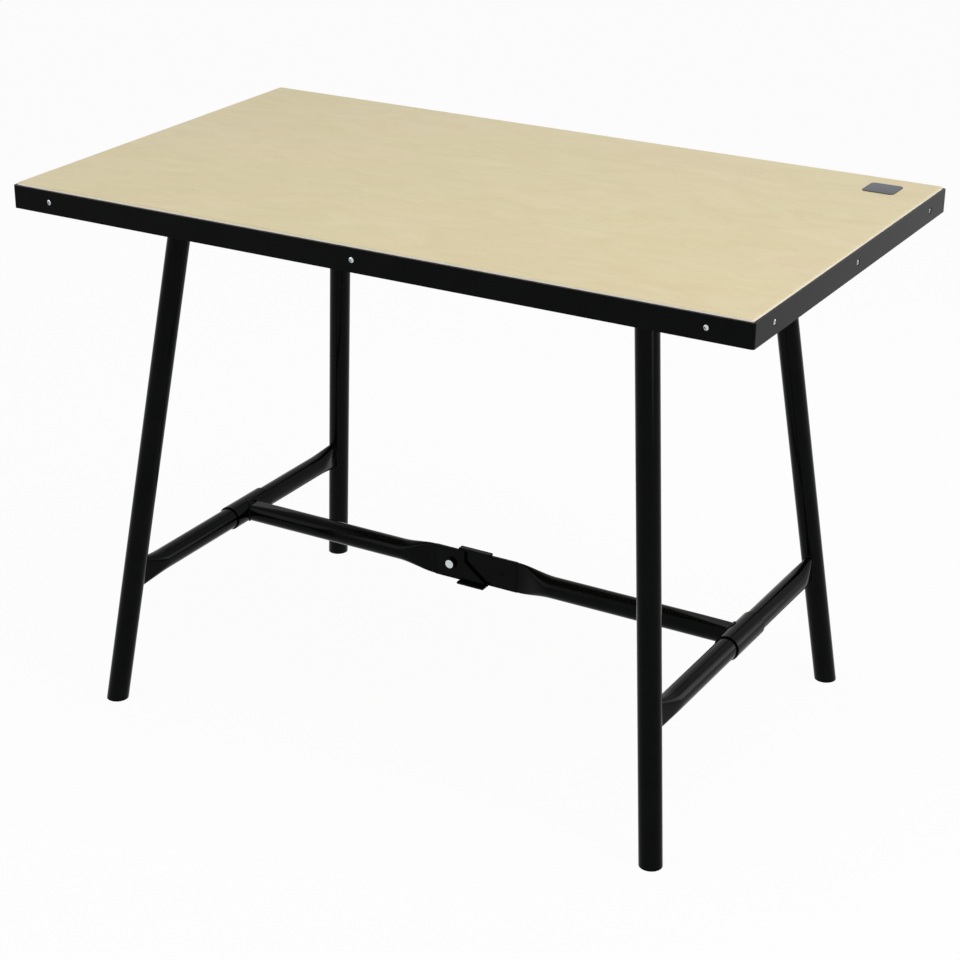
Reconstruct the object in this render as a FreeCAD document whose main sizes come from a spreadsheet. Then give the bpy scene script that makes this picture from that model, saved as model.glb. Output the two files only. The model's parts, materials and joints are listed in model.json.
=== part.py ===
import FreeCAD, Part
import math
import os

from FreeCAD import Placement, Rotation, Vector

# Folding work table: a framed board on two splayed tube leg frames, joined low down by a brace that
# breaks upward at its middle. X runs along the table, -Y is the front and Z is up. The origin is on
# the floor under the middle of the board.

SIZES = (
    # board and rim
    ("top_length", 1200), ("top_width", 700), ("top_height", 850),
    ("board_thickness", 35), ("board_proud", 4), ("board_edge_round", 1.5),
    ("rim_width", 35), ("rim_wall", 4), ("rim_corner_radius", 4), ("rail_width", 110),
    # rim screws
    ("rim_screw_diameter", 5), ("rim_screw_head", 10), ("rim_screw_head_depth", 2.6),
    ("rim_screw_length", 36), ("rim_screw_slot", 1.4), ("rim_screw_slot_length", 5),
    ("rim_screw_slot_depth", 1.6), ("long_side_screw_inset", 66), ("short_side_screw_inset", 65),
    # label plate on the board
    ("plate_length", 50), ("plate_width", 48), ("plate_thickness", 1), ("plate_radius", 3),
    ("plate_from_end", 51), ("plate_from_back", 40),
    # leg frames
    ("tube_diameter", 35), ("tube_wall", 2), ("foot_end_inset", 119), ("foot_side_inset", 23),
    ("hinge_inset", 211), ("leg_top_inset", 131), ("top_tube_overhang", 24),
    ("plug_length", 26), ("stretcher_height", 212), ("end_flat_height", 50),
    ("end_flat_thickness", 7), ("end_flat_length", 76),
    # brackets under the board
    ("bracket_width", 36), ("bracket_wall", 6), ("bracket_length", 104), ("flange_thickness", 3.45),
    ("bracket_from_leg", 69), ("seat_lip_height", 9), ("bracket_screw_diameter", 6),
    ("bracket_screw_head", 12), ("bracket_screw_head_height", 4), ("bracket_screw_length", 30),
    ("bracket_screw_inset", 13), ("running_clearance", 0.05),
    # brace
    ("sleeve_length", 95), ("sleeve_wall", 2.5), ("brace_offset", 10), ("bolt_offset", 48),
    ("tongue_height", 53), ("tongue_thickness", 5), ("tongue_gap", 0.2), ("swell_length", 66),
    ("left_flat", 30), ("right_flat", 119), ("nose_top_reach", 25), ("nose_top_rise", 7),
    ("nose_bottom_reach", 68), ("tongue_end_radius", 15), ("tongue_taper_reach", 68),
    ("lip_thickness", 4), ("lip_gap", 0.3), ("stop_lip_start", 14), ("stop_lip_end", 72),
    ("grip_lip_start", 15), ("grip_lip_end", 64), ("grip_lip_depth", 8),
    ("dimple_diameter", 7), ("dimple_depth", 1.5), ("dimple_reach", 90), ("swing_relief_radius", 60),
    # centre bolt
    ("bolt_diameter", 10), ("bolt_head_flats", 17), ("bolt_head_height", 4), ("bolt_tail", 3),
    ("washer_diameter", 20), ("washer_thickness", 2), ("nut_height", 8),
    # construction
    ("overrun", 20), ("section_sliver", 0.05),
)

doc = FreeCAD.newDocument("folding_work_table")
sheet = doc.addObject("Spreadsheet::Sheet", "Sizes")
for row, (alias, number) in enumerate(SIZES, start=1):
    sheet.set(f"A{row}", alias)
    sheet.set(f"B{row}", str(number))
    sheet.setAlias(f"B{row}", alias)
doc.recompute()
pieces = []


def mm(alias):
    """Gives one driving size from the sheet."""
    return float(sheet.get(alias))


def keep(obj, label):
    """Names an object as a sub-part of the table."""
    obj.Label = label
    pieces.append(obj)
    return obj


def bound(kind, name, place=None, **expressions):
    """Adds a primitive whose sizes follow the sheet."""
    obj = doc.addObject(kind, name)
    for prop, expression in expressions.items():
        obj.setExpression(prop, expression)
    if place is not None:
        obj.Placement = place
    return obj


def at(x, y, z, rotation=None):
    return Placement(Vector(x, y, z), rotation or Rotation())


def along(direction):
    """Turns +Z to a direction."""
    return Rotation(Vector(0, 0, 1), direction)


def cut(name, base, *tools):
    """Takes tools away from a base, and stops if one of them misses it."""
    for number, tool in enumerate(tools):
        result = doc.addObject("Part::Cut", f"{name}_cut_{number}")
        result.Base = base
        result.Tool = tool
        doc.recompute()
        if result.Shape.Volume >= base.Shape.Volume:
            raise ValueError(f"{name}: a cut takes nothing away")
        base = result
    return base


def fuse(name, *shapes):
    result = doc.addObject("Part::MultiFuse", f"{name}_fused")
    result.Shapes = list(shapes)
    result.Refine = True
    return result


def group(name, shape, places):
    """Repeats one solid at several places, as separate solids of one sub-part."""
    obj = doc.addObject("Part::Feature", name)
    obj.Shape = Part.makeCompound([shape.transformed(place.toMatrix()) for place in places])
    return keep(obj, name)


def solid(name, shape, place=None):
    """Holds a shape made with Part's own functions."""
    obj = doc.addObject("Part::Feature", name)
    obj.Shape = shape
    if place is not None:
        obj.Placement = place
    return obj


# Heights and places that follow from the driving sizes.
tube_radius = mm("tube_diameter") / 2
bore_radius = tube_radius - mm("tube_wall")
overrun = mm("overrun")
rim_top = mm("top_height") - mm("board_proud")
rim_bottom = mm("top_height") - mm("board_thickness") - mm("rim_wall")
half_length = mm("top_length") / 2
half_width = mm("top_width") / 2
flange_bottom = rim_bottom - mm("flange_thickness")
hinge_z = flange_bottom - mm("running_clearance") - tube_radius
hinge_x = half_length - mm("hinge_inset")
foot_x = half_length - mm("foot_end_inset")
foot_y = half_width - mm("foot_side_inset")
leg_top_y = half_width - mm("leg_top_inset")
bracket_y = leg_top_y - mm("bracket_from_leg")
stretcher_z = mm("stretcher_height")
stretcher_share = stretcher_z / hinge_z
stretcher_x = foot_x + (hinge_x - foot_x) * stretcher_share
stretcher_y = foot_y + (leg_top_y - foot_y) * stretcher_share
SIDES = (("left", -1), ("right", 1))
ENDS = (("front", -1), ("rear", 1))
FACING_Y = Rotation(Vector(1, 0, 0), -90)
QUARTER = 90
HALF = 180


def rim_screw_places():
    """Screw heads at the rim's mid-height, each with its shank pointing into the board."""
    z = (rim_top + rim_bottom) / 2
    long_reach = half_length - mm("long_side_screw_inset")
    short_reach = half_width - mm("short_side_screw_inset")
    places = []
    for _, sign in ENDS:
        for x in (-long_reach, 0, long_reach):
            places.append(at(x, sign * half_width, z, along(Vector(0, -sign, 0))))
    for _, sign in SIDES:
        for y in (-short_reach, 0, short_reach):
            places.append(at(sign * half_length, y, z, along(Vector(-sign, 0, 0))))
    return places


def bracket_screw_places():
    """Screws that go up through each bracket's flange, the rail and into the board."""
    reach = mm("bracket_length") / 2 - mm("bracket_screw_inset")
    return [
        at(side * hinge_x + dx, dy, flange_bottom)
        for _, side in SIDES
        for dy in (-bracket_y, bracket_y)
        for dx in (-reach, reach)
    ]


# Rim screws: countersunk heads with a cross slot.
screw_head = bound("Part::Cone", "rim_screw_head_cone", Radius1="Sizes.rim_screw_head / 2",
                   Radius2="Sizes.rim_screw_diameter / 2", Height="Sizes.rim_screw_head_depth")
screw_shank = bound("Part::Cylinder", "rim_screw_shank", Radius="Sizes.rim_screw_diameter / 2",
                    Height="Sizes.rim_screw_length")
screw_body = fuse("rim_screw", screw_head, screw_shank)
slots = []
for turn in (0, QUARTER):
    slot = bound("Part::Box", "rim_screw_slot", Length="Sizes.rim_screw_slot_length",
                 Width="Sizes.rim_screw_slot", Height="Sizes.rim_screw_slot_depth")
    centre = Vector(-mm("rim_screw_slot_length") / 2, -mm("rim_screw_slot") / 2, 0)
    slot.Placement = Placement(Vector(), Rotation(Vector(0, 0, 1), turn)) * Placement(centre, Rotation())
    slots.append(slot)
rim_screw = cut("rim_screw", screw_body, *slots)
group("rim_screws", rim_screw.Shape, rim_screw_places())
rim_screw_holes = solid("rim_screw_holes", Part.makeCompound(
    [screw_body.Shape.transformed(place.toMatrix()) for place in rim_screw_places()]))

# Bracket screws: pan heads below the flange.
shank = bound("Part::Cylinder", "bracket_shank", Radius="Sizes.bracket_screw_diameter / 2",
              Height="Sizes.bracket_screw_length")
pan = bound("Part::Cylinder", "bracket_head", at(0, 0, -mm("bracket_screw_head_height")),
            Radius="Sizes.bracket_screw_head / 2", Height="Sizes.bracket_screw_head_height")
bracket_screw = fuse("bracket_screw", shank, pan)
doc.recompute()
group("bracket_screws", bracket_screw.Shape, bracket_screw_places())
bracket_holes = solid("bracket_holes", Part.makeCompound(
    [shank.Shape.transformed(place.toMatrix()) for place in bracket_screw_places()]))

# Board: thick plywood that stands a little proud of its rim.
board_box = bound("Part::Box", "board_box",
                  at(-half_length + mm("rim_wall"), -half_width + mm("rim_wall"), rim_bottom + mm("rim_wall")),
                  Length="Sizes.top_length - 2 * Sizes.rim_wall",
                  Width="Sizes.top_width - 2 * Sizes.rim_wall", Height="Sizes.board_thickness")
doc.recompute()
board_round = doc.addObject("Part::Fillet", "board_round")
board_round.Base = board_box
top_edges = [
    number for number, edge in enumerate(board_box.Shape.Edges, start=1)
    if edge.BoundBox.ZMin > mm("top_height") - mm("board_proud")
]
board_round.Edges = [(number, mm("board_edge_round"), mm("board_edge_round")) for number in top_edges]
doc.recompute()
keep(cut("board", board_round, rim_screw_holes, bracket_holes), "plywood_board")

# Rim: four lengths of steel angle, mitred and welded, with lightly rounded outer corners.
corner_box = bound("Part::Box", "corner_box", at(-half_length, -half_width, rim_bottom),
                   Length="Sizes.top_length", Width="Sizes.top_width",
                   Height="Sizes.board_thickness + Sizes.rim_wall - Sizes.board_proud")
doc.recompute()
rounded = doc.addObject("Part::Fillet", "rounded_outline")
rounded.Base = corner_box
upright = [
    number for number, edge in enumerate(corner_box.Shape.Edges, start=1)
    if edge.BoundBox.ZLength > mm("rim_wall")
]
rounded.Edges = [(number, mm("rim_corner_radius"), mm("rim_corner_radius")) for number in upright]
doc.recompute()


def rim_angle(label, run, out, turn):
    """One mitred angle: run is the alias of its length, out its distance from the middle."""
    wall, width = "Sizes.rim_wall", "Sizes.rim_width"
    height = "Sizes.board_thickness + Sizes.rim_wall - Sizes.board_proud"
    place = Placement(Vector(), Rotation(Vector(0, 0, 1), turn)) * at(0, -out, rim_bottom)
    web = bound("Part::Wedge", f"{label}_web", place,
                Xmin=f"-Sizes.{run} / 2", Xmax=f"Sizes.{run} / 2", Ymin="0", Ymax=wall,
                X2min=f"-Sizes.{run} / 2 + {wall}", X2max=f"Sizes.{run} / 2 - {wall}",
                Zmin="0", Zmax=height, Z2min="0", Z2max=height)
    shelf = bound("Part::Wedge", f"{label}_shelf", place,
                  Xmin=f"-Sizes.{run} / 2", Xmax=f"Sizes.{run} / 2", Ymin="0", Ymax=width,
                  X2min=f"-Sizes.{run} / 2 + {width}", X2max=f"Sizes.{run} / 2 - {width}",
                  Zmin="0", Zmax=wall, Z2min="0", Z2max=wall)
    trimmed = doc.addObject("Part::Common", f"{label}_trimmed")
    trimmed.Base = fuse(label, web, shelf)
    trimmed.Tool = rounded
    doc.recompute()
    return keep(cut(label, trimmed, rim_screw_holes), label)


rim_angle("front_rim", "top_length", half_width, 0)
rim_angle("rear_rim", "top_length", half_width, HALF)
rim_angle("right_rim", "top_width", half_length, QUARTER)
rim_angle("left_rim", "top_width", half_length, -QUARTER)

# Cross rails between the front and rear angles carry the brackets.
rails = {}
for side_name, side in SIDES:
    rail = bound("Part::Box", f"{side_name}_rail",
                 at(side * hinge_x - mm("rail_width") / 2, -half_width + mm("rim_width"), rim_bottom),
                 Length="Sizes.rail_width", Width="Sizes.top_width - 2 * Sizes.rim_width",
                 Height="Sizes.rim_wall")
    doc.recompute()
    rails[side] = rail
    keep(cut(f"{side_name}_cross_rail", rail, bracket_holes), f"{side_name}_cross_rail")

# Bare plate near the back right corner of the board.
plate_box = bound("Part::Box", "plate_box",
                  at(half_length - mm("plate_from_end") - mm("plate_length"),
                     half_width - mm("plate_from_back") - mm("plate_width"), mm("top_height")),
                  Length="Sizes.plate_length", Width="Sizes.plate_width", Height="Sizes.plate_thickness")
doc.recompute()
plate = doc.addObject("Part::Fillet", "plate_round")
plate.Base = plate_box
plate.Edges = [
    (number, mm("plate_radius"), mm("plate_radius"))
    for number, edge in enumerate(plate_box.Shape.Edges, start=1)
    if edge.BoundBox.ZLength > mm("plate_thickness") / 2
]
keep(plate, "label_plate")


def bracket(label, side, end, closed):
    """A flanged bracket under a rail. A closed one turns on the top tube, an open one sits over it."""
    x = side * hinge_x
    y = end * bracket_y - mm("bracket_width") / 2
    outer = mm("tube_diameter") / 2 + mm("bracket_wall")
    flange = bound("Part::Box", f"{label}_flange", at(x - mm("bracket_length") / 2, y, flange_bottom),
                   Length="Sizes.bracket_length", Width="Sizes.bracket_width", Height="Sizes.flange_thickness")
    cheek_low = hinge_z if closed else hinge_z + mm("seat_lip_height")
    cheeks = bound("Part::Box", f"{label}_cheeks", at(x - outer, y, cheek_low),
                   Length="Sizes.tube_diameter + 2 * Sizes.bracket_wall", Width="Sizes.bracket_width")
    cheeks.Height = rim_bottom - cheek_low
    parts = [flange, cheeks]
    if closed:
        parts.append(bound("Part::Cylinder", f"{label}_ring", at(x, y, hinge_z, FACING_Y),
                           Radius="Sizes.tube_diameter / 2 + Sizes.bracket_wall", Height="Sizes.bracket_width"))
        seat = bound("Part::Cylinder", f"{label}_bore", at(x, y - overrun, hinge_z, FACING_Y),
                     Radius="Sizes.tube_diameter / 2 + Sizes.running_clearance",
                     Height="Sizes.bracket_width + 2 * Sizes.overrun")
    else:
        seat = bound("Part::Box", f"{label}_notch",
                     at(x - tube_radius - mm("running_clearance"), y - overrun, cheek_low - overrun),
                     Length="Sizes.tube_diameter + 2 * Sizes.running_clearance",
                     Width="Sizes.bracket_width + 2 * Sizes.overrun")
        seat.Height = flange_bottom - seat.Placement.Base.z
    body = fuse(label, *parts)
    doc.recompute()
    if body.Shape.BoundBox.ZMax > rim_bottom:
        body = cut(f"{label}_crown", body, rails[side])
    keep(cut(label, body, seat, bracket_holes), label)


for end_name, end in ENDS:
    bracket(f"left_{end_name}_hinge_clamp", -1, end, True)
    bracket(f"right_{end_name}_saddle", 1, end, False)


def leg_axis(side, end):
    """Foot and top of one leg's centre line, the foot on the floor."""
    foot = Vector(side * foot_x, end * foot_y, 0)
    top = Vector(side * hinge_x, end * leg_top_y, hinge_z)
    return foot, top


def leg_rod(name, side, end, radius, start, stop):
    """A round bar on a leg's centre line, from start below the foot to stop along it."""
    foot, top = leg_axis(side, end)
    direction = (top - foot).normalize()
    rod = bound("Part::Cylinder", name, Radius=radius)
    rod.Height = stop - start
    rod.Placement = Placement(foot + direction * start, along(direction))
    return rod


def section(x, y, thickness, height):
    """One rounded upright section of a flattened tube, square to X."""
    radius = min(thickness, height) / 2 - mm("section_sliver")
    half_t = thickness / 2 - radius
    half_h = height / 2 - radius
    diagonal = radius * math.sqrt(2) / 2
    edges = []
    corners = ((1, 1), (-1, 1), (-1, -1), (1, -1))
    ends = []
    for sy, sz in corners:
        centre = Vector(x, y + sy * half_t, sz * half_h)
        on_y = centre + Vector(0, sy * radius, 0)
        on_z = centre + Vector(0, 0, sz * radius)
        middle = centre + Vector(0, sy * diagonal, sz * diagonal)
        first, last = (on_y, on_z) if sy * sz > 0 else (on_z, on_y)
        edges.append((first, middle, last))
        ends.append((first, last))
    wire = []
    for number, (first, middle, last) in enumerate(edges):
        wire.append(Part.Arc(first, middle, last).toShape())
        wire.append(Part.makeLine(last, ends[(number + 1) % len(ends)][0]))
    return Part.Wire(wire)


def flattened_tube(stations):
    """A bar through sections given as (x, y, thickness, height), in straight spans."""
    spans = [
        Part.makeLoft([section(*first), section(*last)], True, True)
        for first, last in zip(stations, stations[1:])
    ]
    return spans[0].multiFuse(spans[1:]).removeSplitter()


for side_name, side in SIDES:
    x = side * hinge_x
    top_reach = leg_top_y + mm("top_tube_overhang")
    top_run = "Sizes.top_width - 2 * Sizes.leg_top_inset + 2 * Sizes.top_tube_overhang"
    tube = bound("Part::Cylinder", f"{side_name}_top_outer", at(x, -top_reach, hinge_z, FACING_Y),
                 Radius="Sizes.tube_diameter / 2", Height=top_run)
    inside = bound("Part::Cylinder", f"{side_name}_top_inner", at(x, -top_reach - overrun, hinge_z, FACING_Y),
                   Radius="Sizes.tube_diameter / 2 - Sizes.tube_wall", Height=f"{top_run} + 2 * Sizes.overrun")
    doc.recompute()
    keep(cut(f"{side_name}_top_tube", tube, inside), f"{side_name}_top_tube")
    floor = bound("Part::Box", f"{side_name}_floor", at(-half_length - overrun, -half_width, -2 * overrun),
                  Length="Sizes.top_length + 2 * Sizes.overrun", Width="Sizes.top_width",
                  Height="2 * Sizes.overrun")
    rods = []
    for end_name, end in ENDS:
        label = f"{side_name}_{end_name}_leg"
        foot, top = leg_axis(side, end)
        length = (top - foot).Length - mm("tube_wall")
        rod = leg_rod(f"{label}_rod", side, end, "Sizes.tube_diameter / 2", -overrun, length)
        hollow = leg_rod(f"{label}_hollow", side, end, "Sizes.tube_diameter / 2 - Sizes.tube_wall",
                         -overrun, length + overrun)
        doc.recompute()
        keep(cut(label, rod, floor, tube, hollow), label)
        plug = leg_rod(f"{label}_plug", side, end, "Sizes.tube_diameter / 2 - Sizes.tube_wall",
                       -overrun, mm("plug_length"))
        doc.recompute()
        keep(cut(f"{side_name}_{end_name}_foot_plug", plug, floor), f"{side_name}_{end_name}_foot_plug")
        rods.append(rod)
    # Stretcher: a tube crushed upright at both ends, where it is coped to the legs and welded.
    round_end = stretcher_y - mm("end_flat_length")
    flat = (0, mm("end_flat_thickness"), mm("end_flat_height"))
    rounded_section = (0, mm("tube_diameter"), mm("tube_diameter"))
    bar = flattened_tube([
        (-stretcher_y, *flat), (-round_end, *rounded_section),
        (round_end, *rounded_section), (stretcher_y, *flat),
    ])
    bore = Part.makeCylinder(bore_radius, 2 * round_end, Vector(-round_end, 0, 0), Vector(1, 0, 0))
    bar = solid(f"{side_name}_bar", bar.cut(bore),
                at(side * stretcher_x, 0, stretcher_z, Rotation(Vector(0, 0, 1), QUARTER)))
    doc.recompute()
    keep(cut(f"{side_name}_stretcher", bar, *rods), f"{side_name}_stretcher")

# Sleeves turn on the stretchers, and the brace tubes are welded to them.
sleeves = {}
for side_name, side in SIDES:
    y = mm("brace_offset") - mm("sleeve_length") / 2
    sleeve = bound("Part::Cylinder", f"{side_name}_sleeve_outer",
                   at(side * stretcher_x, y, stretcher_z, FACING_Y), Height="Sizes.sleeve_length",
                   Radius="Sizes.tube_diameter / 2 + Sizes.running_clearance + Sizes.sleeve_wall")
    bore = bound("Part::Cylinder", f"{side_name}_sleeve_bore",
                 at(side * stretcher_x, y - overrun, stretcher_z, FACING_Y),
                 Radius="Sizes.tube_diameter / 2 + Sizes.running_clearance",
                 Height="Sizes.sleeve_length + 2 * Sizes.overrun")
    doc.recompute()
    sleeves[side_name] = sleeve
    keep(cut(f"{side_name}_sleeve", sleeve, bore), f"{side_name}_sleeve")

bolt_x = -mm("bolt_offset")
brace_y = mm("brace_offset")
half_tongue = mm("tongue_height") / 2
front_y = brace_y - mm("tongue_gap") / 2 - mm("tongue_thickness")
rear_y = brace_y + mm("tongue_gap") / 2


def tongue(points, y):
    """A flat plate from an outline of (x from the bolt, z from the brace's middle) or arcs of three points."""
    def place(point):
        return Vector(bolt_x + point[0], y, stretcher_z + point[1])
    edges = []
    for run in points:
        if len(run) == 2:
            edges.append(Part.makeLine(place(run[0]), place(run[1])))
        else:
            edges.append(Part.Arc(*[place(point) for point in run]).toShape())
    return Part.Face(Part.Wire(edges)).extrude(Vector(0, mm("tongue_thickness"), 0))


def plate_block(x0, x1, y0, y1, z0, z1):
    """A square block between two corners, x from the bolt and z from the brace's middle."""
    return Part.makeBox(x1 - x0, y1 - y0, z1 - z0, Vector(bolt_x + x0, y0, stretcher_z + z0))


def brace_tube(far_x, flat_x, y, sign):
    """A tube from the sleeve's axis to the flat of its tongue, with a bore up to the swelling."""
    swell_x = flat_x + sign * mm("swell_length")
    stations = [
        (far_x, brace_y, mm("tube_diameter"), mm("tube_diameter")),
        (swell_x, brace_y, mm("tube_diameter"), mm("tube_diameter")),
        (flat_x, y + mm("tongue_thickness") / 2, mm("tongue_thickness"), mm("tongue_height")),
    ]
    bar = flattened_tube(stations)
    bore_start = Vector(min(far_x, swell_x), brace_y, 0)
    bar = bar.cut(Part.makeCylinder(bore_radius, abs(swell_x - far_x), bore_start, Vector(1, 0, 0)))
    bar.translate(Vector(0, 0, stretcher_z))
    return bar


def round_hole(reach, radius, y, depth):
    return Part.makeCylinder(radius, depth, Vector(bolt_x + reach, y, stretcher_z), Vector(0, 1, 0))


# Left half: the front tongue has a slanting nose, a stop lip over the rear tongue and a grip lip below.
left_start = -mm("left_flat")
top, low = half_tongue, -half_tongue
left_plate = tongue([
    ((left_start, low), (mm("nose_bottom_reach"), low)),
    ((mm("nose_bottom_reach"), low), (mm("nose_top_reach"), mm("nose_top_rise"))),
    ((mm("nose_top_reach"), mm("nose_top_rise")), (mm("nose_top_reach"), top)),
    ((mm("nose_top_reach"), top), (left_start, top)),
    ((left_start, top), (left_start, low)),
], front_y)
lip_low = top + mm("lip_gap")
lip_top = lip_low + mm("lip_thickness")
stop_lip = plate_block(mm("stop_lip_start"), mm("stop_lip_end"), front_y,
                       rear_y + mm("tongue_thickness"), lip_low, lip_top)
lip_root = plate_block(mm("stop_lip_start"), mm("nose_top_reach"), front_y,
                       front_y + mm("tongue_thickness"), 0, lip_low)
grip_lip = plate_block(mm("grip_lip_start"), mm("grip_lip_end"), front_y - mm("grip_lip_depth"),
                       front_y + mm("tongue_thickness"), low - mm("lip_thickness"), low)
left_half = brace_tube(-stretcher_x, bolt_x + left_start, front_y, -1)
# The swelling is pressed flat behind the tongue, so that the other tongue can swing past it.
left_half = left_half.cut(round_hole(0, mm("swing_relief_radius"), front_y + mm("tongue_thickness"), tube_radius))
left_half = left_half.multiFuse([left_plate, lip_root, stop_lip, grip_lip]).removeSplitter()
left_half = left_half.cut(round_hole(0, mm("bolt_diameter") / 2, front_y - overrun, 2 * overrun))
left_solid = solid("left_half", left_half)
doc.recompute()
keep(cut("left_brace_tube", left_solid, sleeves["left"]), "left_brace_tube")

# Right half: the rear tongue narrows to a round end on the bolt, so that it can swing past the tube.
end_radius = mm("tongue_end_radius")
right_plate = tongue([
    ((0, -end_radius), (mm("tongue_taper_reach"), low)),
    ((mm("tongue_taper_reach"), low), (mm("right_flat"), low)),
    ((mm("right_flat"), low), (mm("right_flat"), top)),
    ((mm("right_flat"), top), (end_radius, top)),
    ((end_radius, top), (0, end_radius)),
    ((0, end_radius), (-end_radius, 0), (0, -end_radius)),
], rear_y)
right_half = brace_tube(stretcher_x, bolt_x + mm("right_flat"), rear_y, 1)
right_half = right_half.fuse(right_plate).removeSplitter()
hole_radius = mm("bolt_diameter") / 2 + mm("running_clearance")
right_half = right_half.cut(round_hole(0, hole_radius, rear_y - overrun, 2 * overrun))
right_half = right_half.cut(round_hole(mm("dimple_reach"), mm("dimple_diameter") / 2,
                                       rear_y - overrun, overrun + mm("dimple_depth")))
right_solid = solid("right_half", right_half)
doc.recompute()
keep(cut("right_brace_tube", right_solid, sleeves["right"]), "right_brace_tube")

# Centre bolt with a washer under its head and under its nut.
bolt_place = stretcher_z
stack_front = front_y - mm("washer_thickness")
stack_rear = rear_y + mm("tongue_thickness") + mm("tongue_gap")


def hexagon(name, y, height):
    """A hexagonal prism along Y at the bolt."""
    return bound("Part::Prism", name, at(bolt_x, y, bolt_place, FACING_Y),
                 Circumradius="Sizes.bolt_head_flats / sqrt(3)", Height=height)


nut_end = stack_rear + mm("washer_thickness") + mm("nut_height")
bolt_shank = bound("Part::Cylinder", "bolt_shank", at(bolt_x, stack_front, bolt_place, FACING_Y),
                   Radius="Sizes.bolt_diameter / 2")
bolt_shank.Height = nut_end + mm("bolt_tail") - stack_front
bolt_head = hexagon("bolt_head", stack_front - mm("bolt_head_height"), "Sizes.bolt_head_height")
keep(fuse("centre_bolt", bolt_head, bolt_shank), "centre_bolt")
nut = hexagon("nut_body", stack_rear + mm("washer_thickness"), "Sizes.nut_height")
doc.recompute()
keep(cut("centre_nut", nut, bolt_shank), "centre_nut")
washer = bound("Part::Cylinder", "washer_disc", at(0, 0, 0, FACING_Y),
               Radius="Sizes.washer_diameter / 2", Height="Sizes.washer_thickness")
washer_hole = bound("Part::Cylinder", "washer_hole", at(0, -overrun, 0, FACING_Y),
                    Radius="Sizes.bolt_diameter / 2", Height="Sizes.washer_thickness + 2 * Sizes.overrun")
doc.recompute()
washer_ring = cut("washer", washer, washer_hole)
washer_places = [at(bolt_x, y, bolt_place) for y in (stack_front, stack_rear)]
group("bolt_washers", washer_ring.Shape, washer_places)

doc.recompute()
for obj in doc.Objects:
    if "Invalid" in obj.State or "Error" in obj.State:
        raise ValueError(f"{obj.Label} failed: {obj.State}")
for obj in pieces:
    if obj.Shape.isNull() or not obj.Shape.isValid():
        raise ValueError(f"{obj.Label} has no valid shape")

os.makedirs("parts", exist_ok=True)
for obj in pieces:
    obj.Shape.exportStep(f"parts/{obj.Label}.step")
    print(f"{obj.Label}: {len(obj.Shape.Solids)} solids, {obj.Shape.Volume:.0f} mm3")
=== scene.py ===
# %% [markdown]
# # A folding work table
#
# The real table is a thick plywood board held in a rim of steel angle. It stands on two splayed leg
# frames of round tube, joined low down by a brace that breaks at its middle. The construction comes
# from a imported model, where every piece already has its true size and place. This lesson adds what
# the eye reads: crushed tube ends, weld beads, screws, paint, varnish and light.

import json
import math

import bmesh
import bpy
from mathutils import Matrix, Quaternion, Vector


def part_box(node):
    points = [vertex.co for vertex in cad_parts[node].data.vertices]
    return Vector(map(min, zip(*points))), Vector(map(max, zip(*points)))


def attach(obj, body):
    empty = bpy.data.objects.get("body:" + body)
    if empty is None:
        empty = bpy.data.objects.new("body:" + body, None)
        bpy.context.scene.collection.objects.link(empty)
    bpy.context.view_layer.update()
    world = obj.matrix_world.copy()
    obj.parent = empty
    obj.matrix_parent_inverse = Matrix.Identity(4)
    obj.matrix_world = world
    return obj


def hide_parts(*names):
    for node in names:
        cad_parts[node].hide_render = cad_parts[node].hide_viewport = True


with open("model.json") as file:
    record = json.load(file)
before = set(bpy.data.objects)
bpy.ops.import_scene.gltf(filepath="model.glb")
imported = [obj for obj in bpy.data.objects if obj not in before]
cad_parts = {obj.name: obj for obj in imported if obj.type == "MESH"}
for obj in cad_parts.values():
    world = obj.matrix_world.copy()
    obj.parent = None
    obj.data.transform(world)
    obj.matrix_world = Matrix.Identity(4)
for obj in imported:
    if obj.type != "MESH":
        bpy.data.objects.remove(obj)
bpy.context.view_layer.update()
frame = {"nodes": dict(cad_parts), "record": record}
nodes = frame["nodes"]
MM = 0.001

# %% [markdown]
# ## Colours and nodes
#
# Colours are written as the hex values that a paint program shows. Shaders work in linear light, so
# one function converts them. A material could be wired by hand in the shader editor. Here one small
# function adds a node with its settings and links, which keeps each material short enough to read in
# one go, and gives the same result each time.

# %% Helpers for materials
# A Mix node repeats its sockets for each kind of value. These are the ones for colours.
MIX_FACTOR = 0
MIX_LOW = 6
MIX_HIGH = 7
MIX_RESULT = 2


def linear(hex_colour):
    """Turns an sRGB hex value into the linear RGBA that a shader socket takes."""
    channels = [int(hex_colour[i:i + 2], 16) / 255 for i in (1, 3, 5)]
    return tuple(c / 12.92 if c <= 0.04045 else ((c + 0.055) / 1.055) ** 2.4 for c in channels) + (1,)


def wire(node, links=None, values=None):
    """Puts values on a node's sockets and links other nodes into them."""
    for socket, value in (values or {}).items():
        node.inputs[socket].default_value = value
    for socket, source in (links or {}).items():
        node.id_data.links.new(source, node.inputs[socket])


def add(tree, kind, links=None, values=None, stops=(), **settings):
    """Adds a node with its settings, its values and links, and the stops of a colour ramp."""
    node = tree.nodes.new(kind)
    for name, value in settings.items():
        setattr(node, name, value)
    if stops:
        for element, (position, colour) in zip(node.color_ramp.elements, stops):
            element.position = position
            element.color = linear(colour)
    wire(node, links, values)
    return node


def new_material(name):
    """A fresh material with a Principled shader, and the coordinates for its patterns."""
    material = bpy.data.materials.new(name)
    material.use_nodes = True
    tree = material.node_tree
    shader = tree.nodes["Principled BSDF"]
    place = add(tree, "ShaderNodeTexCoord")
    return material, tree, shader, place


def per_metre(size_mm):
    """A noise scale that gives features of about this size in millimetres."""
    return 1 / (size_mm * MM)


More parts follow.
